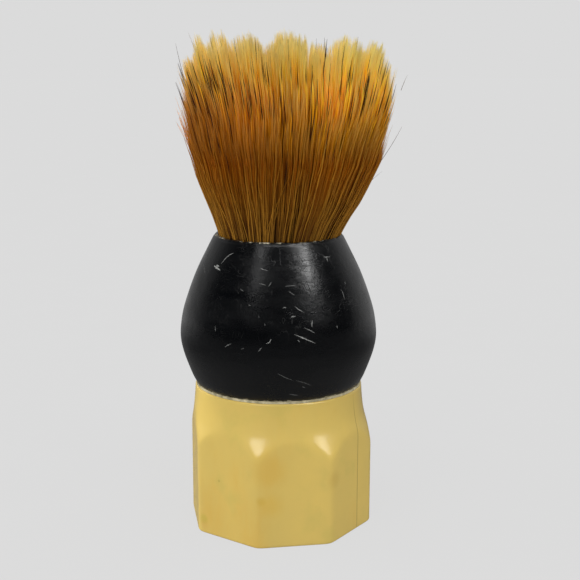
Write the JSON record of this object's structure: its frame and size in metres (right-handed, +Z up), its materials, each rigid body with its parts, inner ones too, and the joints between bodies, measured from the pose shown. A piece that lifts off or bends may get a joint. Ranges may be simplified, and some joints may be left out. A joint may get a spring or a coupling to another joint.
{
  "type": "shaving brush",
  "caption": "Wet-shaving brush: a pear-shaped collar with a full hair knot, screwed onto an octagonal foot by a hidden threaded stud.",
  "frame": {"origin": "on the brush's axis, in the plane of the foot's flat underside", "axes": "+Z up along the brush's axis, +X and +Y each square to a flat of the octagonal foot"},
  "size_m": [0.0418, 0.0418, 0.0999],
  "materials": {
    "cream_resin": "polished cast resin, slightly mottled",
    "black_lacquer": "black lacquer, scratched and chipped to ivory",
    "pale_fibre": "dull",
    "brass": "turned",
    "ferrule": "drawn sheet",
    "cement": "rough",
    "plug": "moulded",
    "cord": "waxed twine",
    "peg": "raw",
    "hair_root": "natural hair, dark at the root",
    "hair": "natural hair, golden brown"
  },
  "bodies": {
    "foot": {"foot": "cream_resin", "stud": "brass"},
    "washer": {"seam_washer": "pale_fibre"},
    "collar": {"collar": "black_lacquer", "insert": "brass", "cement": "cement", "ferrule": "ferrule", "plug": "plug", "cord": "cord", "peg": "peg", "hair_set": "hair_root"},
    "tuft_root": {"hair_root": "hair_root"},
    "tuft_core": {"hair_core": "hair"},
    "bundle_1": {"hair_bundle_1": "hair"},
    "bundle_2": {"hair_bundle_2": "hair"},
    "bundle_3": {"hair_bundle_3": "hair"},
    "bundle_4": {"hair_bundle_4": "hair"},
    "bundle_5": {"hair_bundle_5": "hair"},
    "bundle_6": {"hair_bundle_6": "hair"},
    "bundle_7": {"hair_bundle_7": "hair"},
    "bundle_8": {"hair_bundle_8": "hair"}
  },
  "joints": [
    {"name": "collar_lift", "type": "slide", "parent": "foot", "child": "washer", "axis": [0, 0, 1], "range_m": [0, 0.008]},
    {"name": "collar_turn", "type": "hinge", "parent": "washer", "child": "collar", "pos_m": [0, 0, 0.0357], "axis": [0, 0, 1], "range_deg": [0, 1441]},
    {"name": "bend_side", "type": "hinge", "parent": "collar", "child": "tuft_root", "pos_m": [0, 0, 0.064], "axis": [0, 1, 0], "range_deg": [-18, 18], "stiffness_Nm_per_rad": 0.06},
    {"name": "bend_fore", "type": "hinge", "parent": "tuft_root", "child": "tuft_core", "pos_m": [0, 0, 0.071], "axis": [1, 0, 0], "range_deg": [-18, 18], "stiffness_Nm_per_rad": 0.05},
    {"name": "splay_1", "type": "hinge", "parent": "tuft_core", "child": "bundle_1", "pos_m": [0.014, 0, 0.078], "axis": [0, 1, 0], "range_deg": [0, 18], "stiffness_Nm_per_rad": 0.004},
    {"name": "splay_2", "type": "hinge", "parent": "tuft_core", "child": "bundle_2", "pos_m": [0.0099, 0.0099, 0.078], "axis": [-0.7071, 0.7071, 0], "range_deg": [0, 18], "stiffness_Nm_per_rad": 0.004},
    {"name": "splay_3", "type": "hinge", "parent": "tuft_core", "child": "bundle_3", "pos_m": [0, 0.014, 0.078], "axis": [-1, 0, 0], "range_deg": [0, 18], "stiffness_Nm_per_rad": 0.004},
    {"name": "splay_4", "type": "hinge", "parent": "tuft_core", "child": "bundle_4", "pos_m": [-0.0099, 0.0099, 0.078], "axis": [-0.7071, -0.7071, 0], "range_deg": [0, 18], "stiffness_Nm_per_rad": 0.004},
    {"name": "splay_5", "type": "hinge", "parent": "tuft_core", "child": "bundle_5", "pos_m": [-0.014, 0, 0.078], "axis": [0, -1, 0], "range_deg": [0, 18], "stiffness_Nm_per_rad": 0.004},
    {"name": "splay_6", "type": "hinge", "parent": "tuft_core", "child": "bundle_6", "pos_m": [-0.0099, -0.0099, 0.078], "axis": [0.7071, -0.7071, 0], "range_deg": [0, 18], "stiffness_Nm_per_rad": 0.004},
    {"name": "splay_7", "type": "hinge", "parent": "tuft_core", "child": "bundle_7", "pos_m": [0, -0.014, 0.078], "axis": [1, 0, 0], "range_deg": [0, 18], "stiffness_Nm_per_rad": 0.004},
    {"name": "splay_8", "type": "hinge", "parent": "tuft_core", "child": "bundle_8", "pos_m": [0.0099, -0.0099, 0.078], "axis": [0.7071, 0.7071, 0], "range_deg": [0, 18], "stiffness_Nm_per_rad": 0.004}
  ],
  "couplings": [
    {"joint": "collar_turn", "follows": "collar_lift", "rad_per_m": 3141.6},
    {"joint": "splay_2", "follows": "splay_1", "ratio": 1},
    {"joint": "splay_3", "follows": "splay_1", "ratio": 1},
    {"joint": "splay_4", "follows": "splay_1", "ratio": 1},
    {"joint": "splay_5", "follows": "splay_1", "ratio": 1},
    {"joint": "splay_6", "follows": "splay_1", "ratio": 1},
    {"joint": "splay_7", "follows": "splay_1", "ratio": 1},
    {"joint": "splay_8", "follows": "splay_1", "ratio": 1}
  ]
}
